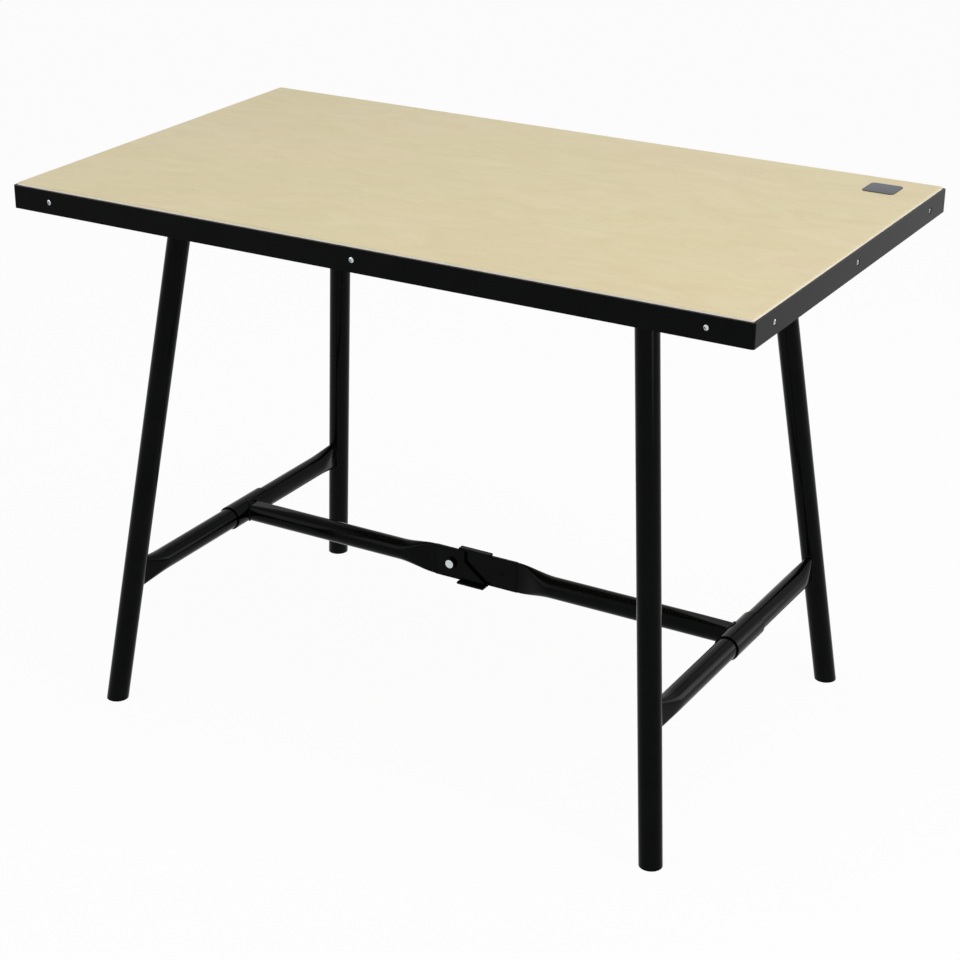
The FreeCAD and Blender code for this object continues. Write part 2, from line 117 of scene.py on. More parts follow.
# %% [markdown]
# ## Black enamel on steel
#
# The tubes and the rim are sprayed with a semi-gloss black enamel. A plain black shader would be too
# even. Sprayed paint keeps a faint orange peel, which breaks up reflections, and its gloss varies a
# little with handling, so a fine noise makes the peel and a large one the rubbed places. The peel is
# about 2 mm across on the real table and is drawn at 3 mm, so that it shows in the render.

# %% Black enamel
PEEL_MM = 3
PEEL_DEPTH_MM = 0.4
RUBBED_MM = 70


def make_black_enamel():
    material, tree, shader, place = new_material("black_enamel")
    peel = add(tree, "ShaderNodeTexNoise", {"Vector": place.outputs["Object"]},
               {"Scale": per_metre(PEEL_MM), "Detail": 2, "Roughness": 0.5})
    rubbed = add(tree, "ShaderNodeTexNoise", {"Vector": place.outputs["Object"]},
                 {"Scale": per_metre(RUBBED_MM), "Detail": 5, "Roughness": 0.62})
    gloss = add(tree, "ShaderNodeMapRange", {"Value": rubbed.outputs["Fac"]},
                {"From Min": 0.3, "From Max": 0.7, "To Min": 0.1, "To Max": 0.2})
    tone = add(tree, "ShaderNodeValToRGB", {"Fac": rubbed.outputs["Fac"]},
               stops=((0.35, "#020303"), (0.75, "#08090a")))
    bump = add(tree, "ShaderNodeBump", {"Height": peel.outputs["Fac"]},
               {"Strength": 0.06, "Distance": PEEL_DEPTH_MM * MM})
    wire(shader, {"Base Color": tone.outputs["Color"], "Roughness": gloss.outputs["Result"],
                  "Normal": bump.outputs["Normal"]}, {"Specular IOR Level": 0.05})
    return material


black_enamel = make_black_enamel()
print("made", black_enamel.name)

# %% [markdown]
# ## Varnished birch plywood
#
# The face veneer is peeled from the log, so it has no straight lines: the figure is soft, cloudy and
# drawn out along the board, with short dark pores and the odd mineral streak. A picture of veneer
# could be wrapped on. Here layers of stretched noise are laid over each other, because each one then
# has the size of what it stands for. The cut edge shows each ply, light and dark by turns, all of them
# near white as a painted highlight along the board's eased edge. One material does both, and lets the
# face's direction choose.

# %% Layers of the face veneer
# Each layer has the length and width of its grain, its noise, its colours and its share over the
# layers below. Where it has a range, it covers only where its noise is in or above that range.
FACE_LAYERS = {
    "clouds": {"grain_mm": (260, 150), "noise": {"Detail": 3, "Roughness": 0.5, "Distortion": 0.6},
               "stops": ((0.32, "#dac79f"), (0.68, "#dbd2a5"))},
    "figure": {"grain_mm": (110, 48), "noise": {"Detail": 4, "Roughness": 0.6, "Distortion": 1.4},
               "stops": ((0.3, "#d3c295"), (0.72, "#e0d4ae")), "share": 0.5},
    "fibres": {"grain_mm": (60, 1.6), "noise": {"Detail": 3, "Roughness": 0.6},
               "stops": ((0.3, "#c4b282"), (0.7, "#e8ddba")), "share": 0.1},
    "pores": {"grain_mm": (9, 0.9), "noise": {"Detail": 1, "Roughness": 0.4},
              "stops": ((0, "#b49e6c"), (1, "#a58d5b")), "share": 0.4, "noise_range": (0.66, 0.78)},
    "streaks": {"grain_mm": (46, 5), "noise": {"Detail": 2, "Roughness": 0.5, "Distortion": 0.4},
                "stops": ((0, "#a98f60"), (1, "#8d7347")), "share": 0.5, "noise_range": (0.74, 0.82)},
}


def add_face_layer(tree, spot, below, grain_mm, noise, stops, share=1, noise_range=None):
    """Lays one layer on the colour below it. Gives back the layer's noise and the new colour."""
    along, across = (per_metre(size) for size in grain_mm)
    grain = add(tree, "ShaderNodeMapping", {"Vector": spot}, {"Scale": (along, across, across)})
    figure = add(tree, "ShaderNodeTexNoise", {"Vector": grain.outputs["Vector"]}, {"Scale": 1, **noise})
    tone = add(tree, "ShaderNodeValToRGB", {"Fac": figure.outputs["Fac"]}, stops=stops)
    if below is None:
        return figure.outputs["Fac"], tone.outputs["Color"]
    laid = add(tree, "ShaderNodeMix", {MIX_LOW: below, MIX_HIGH: tone.outputs["Color"]},
               {MIX_FACTOR: share}, data_type="RGBA")
    if noise_range:
        start, full = noise_range
        cover = add(tree, "ShaderNodeMapRange", {"Value": figure.outputs["Fac"]},
                    {"From Min": start, "From Max": full, "To Max": share})
        wire(laid, {MIX_FACTOR: cover.outputs["Result"]})
    return figure.outputs["Fac"], laid.outputs[MIX_RESULT]


# %% Birch plywood
PLY_PAIR_MM = 3
FIBRE_DEPTH_MM = 0.15


def make_birch_ply():
    material, tree, shader, place = new_material("varnished_birch_ply")
    spot = place.outputs["Object"]
    noises = {}
    face = None
    for name, layer in FACE_LAYERS.items():
        noises[name], face = add_face_layer(tree, spot, face, **layer)

    # A light and a dark ply by turns on the cut edge, both near white: a painted highlight on the edge.
    height = add(tree, "ShaderNodeSeparateXYZ", {"Vector": spot})
    turns = add(tree, "ShaderNodeMath", {0: height.outputs["Z"]}, {1: per_metre(PLY_PAIR_MM)},
                operation="MULTIPLY")
    saw = add(tree, "ShaderNodeMath", {0: turns.outputs[0]}, operation="FRACT")
    ply_edge_painted_highlight = add(tree, "ShaderNodeValToRGB", {"Fac": saw.outputs[0]},
                stops=((0.46, "#fffaf0"), (0.54, "#f6edd8")))
    upward = add(tree, "ShaderNodeSeparateXYZ", {"Vector": place.outputs["Normal"]})
    level = add(tree, "ShaderNodeMath", {0: upward.outputs["Z"]}, operation="ABSOLUTE")
    on_face = add(tree, "ShaderNodeMapRange", {"Value": level.outputs[0]},
                  {"From Min": 0.35, "From Max": 0.7})
    colour = add(tree, "ShaderNodeMix", {MIX_FACTOR: on_face.outputs["Result"],
                                         MIX_LOW: ply_edge_painted_highlight.outputs["Color"], MIX_HIGH: face}, data_type="RGBA")

    bump = add(tree, "ShaderNodeBump", {"Height": noises["fibres"]},
               {"Strength": 0.05, "Distance": FIBRE_DEPTH_MM * MM})
    gloss = add(tree, "ShaderNodeMapRange", {"Value": noises["clouds"]},
                {"From Min": 0.3, "From Max": 0.7, "To Min": 0.46, "To Max": 0.6})
    wire(shader, {"Base Color": colour.outputs[MIX_RESULT], "Roughness": gloss.outputs["Result"],
                  "Normal": bump.outputs["Normal"]}, {"Coat Weight": 0.08, "Coat Roughness": 0.22})
    return material


birch_ply = make_birch_ply()
print("made", birch_ply.name)

# %% [markdown]
# ## Zinc, moulded plastic and the plate
#
# The screws and the centre bolt are zinc plated: bright, a little cloudy and faintly blue. The foot
# plugs are moulded plastic with a fine spark-eroded grain. The small plate on the board is bare and
# dark, with a brushed face and a darker edge. Plain shaders would do at this size, but one noise in
# each keeps them alive in a close view.

# %% Zinc plating, plastic and plate
ZINC_CLOUD_MM = 4
PLASTIC_GRAIN_MM = 1.2
PLASTIC_GRAIN_DEPTH_MM = 0.2
BRUSHED_MM = (30, 0.5)


def make_zinc():
    material, tree, shader, place = new_material("zinc_plating")
    cloud = add(tree, "ShaderNodeTexNoise", {"Vector": place.outputs["Object"]},
                {"Scale": per_metre(ZINC_CLOUD_MM), "Detail": 3, "Roughness": 0.6})
    tone = add(tree, "ShaderNodeValToRGB", {"Fac": cloud.outputs["Fac"]},
               stops=((0, "#b4babf"), (1, "#e2e6e8")))
    gloss = add(tree, "ShaderNodeMapRange", {"Value": cloud.outputs["Fac"]},
                {"To Min": 0.22, "To Max": 0.42})
    wire(shader, {"Base Color": tone.outputs["Color"], "Roughness": gloss.outputs["Result"]},
         {"Metallic": 1})
    return material


def make_black_plastic():
    material, tree, shader, place = new_material("moulded_black_plastic")
    grain = add(tree, "ShaderNodeTexNoise", {"Vector": place.outputs["Object"]},
                {"Scale": per_metre(PLASTIC_GRAIN_MM), "Detail": 2})
    tone = add(tree, "ShaderNodeValToRGB", {"Fac": grain.outputs["Fac"]},
               stops=((0, "#111112"), (1, "#1b1b1c")))
    bump = add(tree, "ShaderNodeBump", {"Height": grain.outputs["Fac"]},
               {"Strength": 0.15, "Distance": PLASTIC_GRAIN_DEPTH_MM * MM})
    wire(shader, {"Base Color": tone.outputs["Color"], "Normal": bump.outputs["Normal"]},
         {"Roughness": 0.55})
    return material


def make_dark_plate():
    material, tree, shader, place = new_material("brushed_dark_plate")
    along, across = (per_metre(size) for size in BRUSHED_MM)
    brushed = add(tree, "ShaderNodeMapping", {"Vector": place.outputs["Object"]},
                  {"Scale": (along, across, across)})
    lines = add(tree, "ShaderNodeTexNoise", {"Vector": brushed.outputs["Vector"]},
                {"Scale": 1, "Detail": 2})
    tone = add(tree, "ShaderNodeValToRGB", {"Fac": lines.outputs["Fac"]},
               stops=((0, "#3c4049"), (1, "#53575f")))
    upward = add(tree, "ShaderNodeSeparateXYZ", {"Vector": place.outputs["Normal"]})
    on_face = add(tree, "ShaderNodeMapRange", {"Value": upward.outputs["Z"]},
                  {"From Min": 0.9, "From Max": 0.99})
    colour = add(tree, "ShaderNodeMix",
                 {MIX_FACTOR: on_face.outputs["Result"], MIX_HIGH: tone.outputs["Color"]},
                 {MIX_LOW: linear("#141416")}, data_type="RGBA")
    wire(shader, {"Base Color": colour.outputs[MIX_RESULT]},
         {"Roughness": 0.42, "Specular IOR Level": 0.25})
    return material


zinc = make_zinc()
black_plastic = make_black_plastic()
dark_plate = make_dark_plate()
print("made", zinc.name, black_plastic.name, "and", dark_plate.name)

# %% Finish every carried-over piece
finish_of_slot = {
    "black_paint": black_enamel, "plywood": birch_ply, "zinc_steel": zinc,
    "black_plastic": black_plastic, "label": dark_plate,
}
for entry in frame["record"]["subparts"]:
    mesh = nodes[entry["node"]].data
    mesh.materials.clear()
    mesh.materials.append(finish_of_slot[entry["material_slot"]])
print("finished", len(nodes), "pieces")

# %% [markdown]
# ## Pieces with more shape
#
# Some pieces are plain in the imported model. Here they get what a close look shows: a board with an
# eased edge, tubes that swell smoothly out of their crushed ends, hinge plates with rounded edges, a
# chamfered bolt head, recessed screws and weld beads. Each finished piece is one mesh that already
# holds its place, and it rides the body that carries it.

# %% Helpers for pieces


def piece(name, mesh, material, body, slot, *replaced):
    """Links a finished mesh as a piece of one body, in place of the nodes that it replaces."""
    mesh.materials.clear()
    mesh.materials.append(material)
    obj = bpy.data.objects.new(name, mesh)
    bpy.context.scene.collection.objects.link(obj)
    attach(obj, body)
    if replaced:
        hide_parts(*replaced)
    return obj


def keep_mesh(work, mesh, sharp_degrees):
    """Stores a worked mesh, facing outward and smooth, with creases where faces meet at a sharp angle."""
    bmesh.ops.recalc_face_normals(work, faces=work.faces)
    work.to_mesh(mesh)
    work.free()
    mesh.shade_smooth()
    mesh.set_sharp_from_angle(angle=math.radians(sharp_degrees))
    return mesh


def mesh_from(name, points_mm, faces, sharp_degrees=35):
    """A finished mesh from points in millimetres."""
    mesh = bpy.data.meshes.new(name)
    mesh.from_pydata([Vector(point) * MM for point in points_mm], [], faces)
    mesh.validate()
    work = bmesh.new()
    work.from_mesh(mesh)
    return keep_mesh(work, mesh, sharp_degrees)


def skin(rings, collar=False):
    """Faces that join rings of equal length in turn. The ends are closed, or joined to form a collar."""
    count = len(rings[0])
    points = [point for ring in rings for point in ring]
    faces = [] if collar else [tuple(range(count)), tuple(range(len(points) - count, len(points)))]
    for ring in range(len(rings) if collar else len(rings) - 1):
        here, after = ring * count, (ring + 1) % len(rings) * count
        for step in range(count):
            beside = (step + 1) % count
            faces.append((here + step, here + beside, after + beside, after + step))
    return points, faces


def box_mm(node):
    """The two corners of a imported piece, in millimetres."""
    low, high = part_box(node)
    return Vector(low) / MM, Vector(high) / MM


def smooth_share(value):
    """Eases a share between 0 and 1, flat at both ends."""
    value = min(max(value, 0), 1)
    return value * value * (3 - 2 * value)


# %% [markdown]
# ## Board and plate
#
# The board's upper edge is eased so that it is kind to hands, and the small plate has round corners.
# A bevel could round them. Stacked outlines are used instead, because only the upper edge is round
# and the corners have a radius of their own.

# %% Board and plate with eased edges


def eased_slab(name, low, high, corner_radius, edge_radius, corner_steps=6, edge_steps=6):
    """A flat slab with round corners, whose upper edge is rounded over."""
    levels = [(0, low.z)]
    for step in range(edge_steps + 1):
        angle = math.pi / 2 * step / edge_steps
        inset = edge_radius * (1 - math.cos(angle))
        levels.append((inset, high.z - edge_radius * (1 - math.sin(angle))))
    rings = []
    for inset, z in levels:
        ring = []
        for quarter, (sx, sy) in enumerate(((1, 1), (-1, 1), (-1, -1), (1, -1))):
            centre_x = (high.x if sx > 0 else low.x) - sx * corner_radius
            centre_y = (high.y if sy > 0 else low.y) - sy * corner_radius
            for step in range(corner_steps + 1):
                angle = math.pi / 2 * (quarter + step / corner_steps)
                reach = corner_radius - inset
                x = centre_x + reach * math.cos(angle)
                ring.append((x, centre_y + reach * math.sin(angle), z))
        rings.append(ring)
    return mesh_from(name, *skin(rings))


BOARD_CORNER_MM = 4
BOARD_EDGE_MM = 3.6
PLATE_CORNER_MM = 7
PLATE_EDGE_MM = 0.5
board = eased_slab("board", *box_mm("plywood_board"), BOARD_CORNER_MM, BOARD_EDGE_MM)
piece("board", board, birch_ply, "tabletop", "plywood", "plywood_board")
plate = eased_slab("plate", *box_mm("label_plate"), PLATE_CORNER_MM, PLATE_EDGE_MM)
piece("plate", plate, dark_plate, "tabletop", "label", "label_plate")
print("board and plate eased")

# %% [markdown]
# ## Crushed tubes
#
# A tube that is pressed flat keeps its girth: as it gets thinner it gets taller. It could be sculpted,
# but a rule is easier to change. Every section is an upright slot, round where the tube is whole and
# thin where it is crushed. The share between the two eases in and out, so the swelling has no hard
# line except where the flat begins.

# %% Crushed stretchers
SIDES = (("left", -1), ("right", 1))
TUBE_MM = 35
LEG_FOOT_MM = Vector((481, 327, 0))
LEG_TOP_MM = Vector((389, 219, 790))
STRETCHER_Z_MM = 212
# A flat is given by its thickness and its height.
STRETCHER_FLAT_MM = (7, 50)
STRETCHER_CRUSH_MM = 76
END_INSIDE_LEG_MM = 6

stretcher_centre = LEG_FOOT_MM.lerp(LEG_TOP_MM, STRETCHER_Z_MM / LEG_TOP_MM.z)


def slot_section(width, height, count=56):
    """Points (across, up) around an upright slot, which is a circle when width and height agree."""
    points = []
    for step in range(count):
        angle = 2 * math.pi * (step + 0.5) / count
        lift = math.copysign((height - width) / 2, math.sin(angle))
        points.append((width / 2 * math.cos(angle), width / 2 * math.sin(angle) + lift))
    return points


def crushed_section(share, flat):
    """The tube's section, whole at 0 and flat at 1."""
    return slot_section(TUBE_MM + (flat[0] - TUBE_MM) * share, TUBE_MM + (flat[1] - TUBE_MM) * share)


def make_stretcher(side, steps=14):
    reach = stretcher_centre.y
    whole = reach - STRETCHER_CRUSH_MM
    run = [whole + (STRETCHER_CRUSH_MM - END_INSIDE_LEG_MM) * step / steps for step in range(steps + 1)]
    rings = []
    for y in [-value for value in reversed(run)] + run:
        share = smooth_share((abs(y) - whole) / STRETCHER_CRUSH_MM)
        section = crushed_section(share, STRETCHER_FLAT_MM)
        rings.append([(side * stretcher_centre.x + x, y, STRETCHER_Z_MM + z) for x, z in section])
    return mesh_from("stretcher", *skin(rings))


for side_name, side in SIDES:
    piece(f"{side_name}_crushed_stretcher", make_stretcher(side), black_enamel,
          f"{side_name}_leg_frame", "black_paint", f"{side_name}_stretcher")
print("stretchers crushed")

# %% [markdown]
# ## The brace and its hinge
#
# Each half of the brace is a tube that is crushed into a thin tongue. The front tongue has a slanting
# nose, a stop lip folded over the rear tongue and a grip lip folded forward below. Cutting them from
# one block would be hard to follow, so each plate is an outline that gets its thickness. The plates
# have a small bevel, because painted steel always shows a fine bright line along its edges.

# %% Brace halves
# Flats, nose, lips and pip are placed along the brace by their distance from the bolt.
BOLT_X_MM = -48
BRACE_Y_MM = 10
TONGUE_MM = (5, 53)
TONGUE_GAP_MM = 0.2
SWELL_MM = 66
LEFT_FLAT_MM = -30
RIGHT_FLAT_MM = 119
SWING_RELIEF_MM = 60
SLEEVE_RADIUS_MM = 20
SLEEVE_MIDDLE_MM = 19
PRESSED_END_MM = (115, 13.5)
CREASE_MM = (3, 13)
CREASE_SHARE = 0.1
PIP_X_MM = 90
PIP_PROFILE_MM = ((4.4, 0), (4.2, 0.8), (3.2, 0.8), (2.4, 0.1), (1.2, 0.7), (0.3, 0.9))
PLATE_BEVEL_MM = 0.7
NOSE_TOP_MM = (25, 7)
NOSE_BOTTOM_MM = 68
TONGUE_END_MM = 15
# Each lip starts and ends at these distances from the bolt. The stop lip then has its gap over the
# rear tongue, the grip lip its depth in front of the tongue, and both their thickness.
STOP_LIP_MM = (14, 72, 0.3, 4)
GRIP_LIP_MM = (15, 64, 8, 4)

half_tongue = TONGUE_MM[1] / 2
front_plane = BRACE_Y_MM - TONGUE_GAP_MM / 2
rear_plane = BRACE_Y_MM + TONGUE_GAP_MM / 2


def add_plate(work, outline, y0, y1):
    """Adds a flat plate with bevelled edges, its outline in (x from the bolt, z from the brace)."""
    corners = [work.verts.new((BOLT_X_MM + x, y0, STRETCHER_Z_MM + z)) for x, z in outline]
    face = work.faces.new(corners)
    grown_parts = bmesh.ops.extrude_face_region(work, geom=[face])["geom"]
    moved = [item for item in grown_parts if isinstance(item, bmesh.types.BMVert)]
    bmesh.ops.translate(work, verts=moved, vec=(0, y1 - y0, 0))
    edges = dict.fromkeys(edge for vert in corners + moved for edge in vert.link_edges)
    bmesh.ops.bevel(work, geom=list(edges), offset=PLATE_BEVEL_MM, segments=2, affect="EDGES")


def add_skin(work, rings):
    points, faces = skin(rings)
    verts = [work.verts.new(point) for point in points]
    for face in faces:
        work.faces.new([verts[index] for index in face])


def pressed_end(sign, steps=8):
    """Rings from the sleeve towards the bolt: the tube is coped to the sleeve, its top pressed flat."""
    reach, pressed_top = PRESSED_END_MM
    rings = []
    for share in (step / steps for step in range(steps + 1)):
        top = pressed_top + (TUBE_MM / 2 - pressed_top) * share
        ring = []
        for across, up in crushed_section(0, TONGUE_MM):
            up = min(up, top)
            cope = math.sqrt(SLEEVE_MIDDLE_MM ** 2 - up ** 2) * (1 - share)
            x = sign * (stretcher_centre.x - cope - reach * share)
            ring.append((x, BRACE_Y_MM + across, STRETCHER_Z_MM + up))
        rings.append(ring)
    return rings


def add_brace_tube(work, sign, flat_x, centre_y, relief=False, crease=False, steps=16):
    """Adds the tube from its sleeve to the tongue's flat, with a relief behind the bolt or a crease."""
    flat = BOLT_X_MM + flat_x
    whole = flat + sign * SWELL_MM
    stations = [whole + (flat - whole) * step / steps for step in range(steps + 1)]
    crease_width, crease_reach = CREASE_MM
    if crease:
        stations.insert(steps, flat + sign * crease_width)
    rings = pressed_end(sign)
    for x in stations:
        share = smooth_share((x - whole) / (flat - whole))
        ring = []
        for across, up in crushed_section(share, TONGUE_MM):
            if crease and x == flat and abs(up) < crease_reach:
                across *= CREASE_SHARE
            y = BRACE_Y_MM + (centre_y - BRACE_Y_MM) * share + across
            if relief and math.hypot(x - BOLT_X_MM, up) < SWING_RELIEF_MM:
                y = min(y, front_plane)
            ring.append((x, y, STRETCHER_Z_MM + up))
        rings.append(ring)
    add_skin(work, rings)


def add_pip(work, count=32):
    """Adds the small pip with a raised ring that is punched into the rear tongue."""
    angles = [2 * math.pi * step / count for step in range(count)]
    centre_x = BOLT_X_MM + PIP_X_MM
    rings = []
    for radius, height in PIP_PROFILE_MM:
        y = rear_plane - height
        rings.append([(centre_x + radius * math.cos(angle), y, STRETCHER_Z_MM + radius * math.sin(angle))
                      for angle in angles])
    add_skin(work, rings)


def brace_mesh(name, work, sharp_degrees=40):
    """Turns the collected plates and tube into a mesh in metres."""
    bmesh.ops.scale(work, vec=(MM, MM, MM), verts=work.verts)
    return keep_mesh(work, bpy.data.meshes.new(name), sharp_degrees)


def make_left_half():
    work = bmesh.new()
    add_brace_tube(work, -1, LEFT_FLAT_MM, front_plane - TONGUE_MM[0] / 2, relief=True)
    nose_x, nose_z = NOSE_TOP_MM
    start, end, gap, thick = STOP_LIP_MM
    low = half_tongue + gap
    add_plate(work, [(LEFT_FLAT_MM, -half_tongue), (NOSE_BOTTOM_MM, -half_tongue), (nose_x, nose_z),
                     (nose_x, low), (start, low), (start, half_tongue), (LEFT_FLAT_MM, half_tongue)],
              front_plane - TONGUE_MM[0], front_plane)
    add_plate(work, [(start, low), (end, low), (end, low + thick), (start, low + thick)],
              front_plane - TONGUE_MM[0], rear_plane + TONGUE_MM[0])
    start, end, depth, thick = GRIP_LIP_MM
    add_plate(work, [(start, -half_tongue - thick), (end, -half_tongue - thick), (end, -half_tongue),
                     (start, -half_tongue)], front_plane - TONGUE_MM[0] - depth, front_plane)
    return brace_mesh("left_half", work)


def make_right_half(end_steps=10):
    work = bmesh.new()
    add_brace_tube(work, 1, RIGHT_FLAT_MM, rear_plane + TONGUE_MM[0] / 2, crease=True)
    outline = [(NOSE_BOTTOM_MM, -half_tongue), (RIGHT_FLAT_MM, -half_tongue), (RIGHT_FLAT_MM, half_tongue),
               (TONGUE_END_MM, half_tongue)]
    for step in range(end_steps + 1):
        angle = math.pi / 2 + math.pi * step / end_steps
        outline.append((TONGUE_END_MM * math.cos(angle), TONGUE_END_MM * math.sin(angle)))
    add_plate(work, outline, rear_plane, rear_plane + TONGUE_MM[0])
    add_pip(work)
    return brace_mesh("right_half", work)


piece("left_brace_half", make_left_half(), black_enamel, "left_brace", "black_paint", "left_brace_tube")
piece("right_brace_half", make_right_half(), black_enamel, "right_brace", "black_paint", "right_brace_tube")
print("brace halves made")

# %% [markdown]
# ## The centre bolt
#
# The bolt's round face is bright zinc. The dark ring around it is painted shade: the sides of the head
# and its turned-off corners are a collar of black enamel around a bare core. A bevel would cut all its
# edges alike. On a real bolt only the corners of the hexagon are turned off, so the height of that
# chamfer comes from a formula.

# %% Centre bolt with a chamfered head
BOLT_FLATS_MM = 17
BOLT_HEAD_MM = 4
BOLT_SHANK_MM = 10
BOLT_END_MM = 1
BOLT_FACE_SHARE = 0.41
CHAMFER_SLOPE = math.tan(math.radians(30))
BOLT_STEPS = 60

bolt_low, bolt_high = box_mm("centre_bolt")
bolt_centre = (bolt_low + bolt_high) / 2
face_radius = BOLT_FLATS_MM * BOLT_FACE_SHARE


def hexagon(angle):
    """The distance from the bolt's axis to the side of its head."""
    turned = (angle + math.pi / 6) % (math.pi / 3) - math.pi / 6
    return BOLT_FLATS_MM / 2 / math.cos(turned)


def bolt_ring(radius_at, depth_at):
    """One ring about the bolt's axis, its radius and depth given by the angle."""
    ring = []
    for angle in (2 * math.pi * step / BOLT_STEPS for step in range(BOLT_STEPS)):
        x, z = radius_at(angle) * math.cos(angle), radius_at(angle) * math.sin(angle)
        ring.append((bolt_centre.x + x, bolt_low.y + depth_at(angle), bolt_centre.z + z))
    return ring


def make_bolt_core():
    """The bare face of the head, and the shank with its chamfered end."""
    length = bolt_high.y - bolt_low.y
    shank = BOLT_SHANK_MM / 2
    profile = ((face_radius, 0), (face_radius, BOLT_HEAD_MM), (shank, BOLT_HEAD_MM),
               (shank, length - BOLT_END_MM), (shank - BOLT_END_MM, length))
    rings = [bolt_ring(lambda _: radius, lambda _: depth) for radius, depth in profile]
    return mesh_from("bolt_core", *skin(rings), sharp_degrees=20)


def make_bolt_shade_collar():
    """Painted shade in black enamel: the hexagon's sides, and its corners turned off to the round face."""
    rings = [
        bolt_ring(lambda _: face_radius, lambda _: 0),
        bolt_ring(hexagon, lambda angle: (hexagon(angle) - face_radius) * CHAMFER_SLOPE),
        bolt_ring(hexagon, lambda _: BOLT_HEAD_MM),
        bolt_ring(lambda _: face_radius, lambda _: BOLT_HEAD_MM),
    ]
    return mesh_from("bolt_shade_collar", *skin(rings, collar=True), sharp_degrees=20)


piece("bare_bolt", make_bolt_core(), zinc, "left_brace", "zinc_steel", "centre_bolt")
# The black collar is painted shade around the bolt's bright face.
piece("painted_bolt_head", make_bolt_shade_collar(), black_enamel, "left_brace", "black_paint")
print("bolt made")

# %% [markdown]
# ## Screws and welds by Geometry Nodes
#
# The rim is held by rows of screws with a cross recess, and the tubes are welded to each other. Both
# could be copied by hand. As node groups with named inputs they stay easy to change: a screw row is
# one head repeated on points, each with its own turn, and a weld is a row of small beads along a
# seam. The groups are run once, and what they make is kept as a plain mesh.

# %% Geometry groups
BEAD_SIZE_SHARES = (0.85, 1.15)
BEAD_SEED = 0
# A Random Value node repeats its limits for each kind of value. These are the ones for numbers.
RANDOM_LOW = 2
RANDOM_HIGH = 3
RANDOM_RESULT = 1


def new_group(name, *inputs):
    """An empty geometry group: a Geometry input, further named inputs and a Geometry output."""
    tree = bpy.data.node_groups.new(name, "GeometryNodeTree")
    tree.interface.new_socket("Geometry", in_out="INPUT", socket_type="NodeSocketGeometry")
    for label, kind in inputs:
        tree.interface.new_socket(label, in_out="INPUT", socket_type=kind)
    tree.interface.new_socket("Geometry", in_out="OUTPUT", socket_type="NodeSocketGeometry")
    return tree, add(tree, "NodeGroupInput"), add(tree, "NodeGroupOutput")


def close_group(tree, given, result, instances):
    """Ends a group in real geometry with its material."""
    real = add(tree, "GeometryNodeRealizeInstances", {"Geometry": instances.outputs["Instances"]})
    painted = add(tree, "GeometryNodeSetMaterial",
                  {"Geometry": real.outputs["Geometry"], "Material": given.outputs["Material"]})
    wire(result, {"Geometry": painted.outputs["Geometry"]})
    return tree


def make_weld_group():
    tree, given, result = new_group("weld_beads", ("Spacing", "NodeSocketFloat"),
                                    ("Bead radius", "NodeSocketFloat"), ("Material", "NodeSocketMaterial"))
    seam = add(tree, "GeometryNodeMeshToCurve", {"Mesh": given.outputs["Geometry"]})
    points = add(tree, "GeometryNodeResampleCurve",
                 {"Curve": seam.outputs["Curve"], "Length": given.outputs["Spacing"]}, mode="LENGTH")
    bead = add(tree, "GeometryNodeMeshIcoSphere", {"Radius": given.outputs["Bead radius"]},
               {"Subdivisions": 2})
    soft = add(tree, "GeometryNodeSetShadeSmooth", {"Geometry": bead.outputs["Mesh"]})
    smallest, largest = BEAD_SIZE_SHARES
    size = add(tree, "FunctionNodeRandomValue",
               values={RANDOM_LOW: smallest, RANDOM_HIGH: largest, "Seed": BEAD_SEED})
    beads = add(tree, "GeometryNodeInstanceOnPoints",
                {"Points": points.outputs["Curve"], "Instance": soft.outputs["Geometry"],
                 "Scale": size.outputs[RANDOM_RESULT]})
    return close_group(tree, given, result, beads)


def make_screw_group():
    tree, given, result = new_group("screw_row", ("Screw", "NodeSocketObject"),
                                    ("Material", "NodeSocketMaterial"))
    turn = add(tree, "GeometryNodeInputNamedAttribute", values={"Name": "turn"}, data_type="FLOAT_VECTOR")
    head = add(tree, "GeometryNodeObjectInfo", {"Object": given.outputs["Screw"]})
    screws = add(tree, "GeometryNodeInstanceOnPoints",
                 {"Points": given.outputs["Geometry"], "Instance": head.outputs["Geometry"],
                  "Rotation": turn.outputs["Attribute"]})
    return close_group(tree, given, result, screws)


def grow(seed_mesh, tree, values):
    """Runs a group on a seed mesh and gives back what it makes as a plain mesh."""
    seed = bpy.data.objects.new("seed", seed_mesh)
    bpy.context.scene.collection.objects.link(seed)
    modifier = seed.modifiers.new(tree.name, "NODES")
    modifier.node_group = tree
    for item in tree.interface.items_tree:
        if item.in_out == "INPUT" and item.name in values:
            modifier[item.identifier] = values[item.name]
    seed.update_tag()
    evaluated = seed.evaluated_get(bpy.context.evaluated_depsgraph_get())
    mesh = bpy.data.meshes.new_from_object(evaluated)
    bpy.data.objects.remove(seed)
    return mesh


# %% Rim screws
SCREW_HEAD_MM = 8
SCREW_SINK_MM = 1
SCREW_BASE_MM = 2.4
SCREW_CROSS_MM = (1, 2.4, 2)
LONG_SIDE_SCREW_INSET_MM = 66
SHORT_SIDE_SCREW_INSET_MM = 65
TURN_STEP_RADIANS = 2.4


def make_screw_head(ring_count=14, count=56):
    """A domed head with a cross recess. Its top is level with the rim's face, and its edge lies below."""
    half_slot, arm, depth = SCREW_CROSS_MM
    rings = []
    for number in range(ring_count + 1):
        radius = SCREW_HEAD_MM / 2 * (1 - number / (ring_count + 1))
        ring = []
        for step in range(count):
            angle = 2 * math.pi * step / count
            x, y = radius * math.cos(angle), radius * math.sin(angle)
            z = -SCREW_SINK_MM * (2 * radius / SCREW_HEAD_MM) ** 2
            if min(abs(x), abs(y)) < half_slot and max(abs(x), abs(y)) < arm:
                z -= depth
            ring.append((x, y, z))
        rings.append(ring)
    base = [(x, y, z - SCREW_BASE_MM) for x, y, z in rings[0]]
    return mesh_from("screw_head", *skin([base] + rings), sharp_degrees=45)


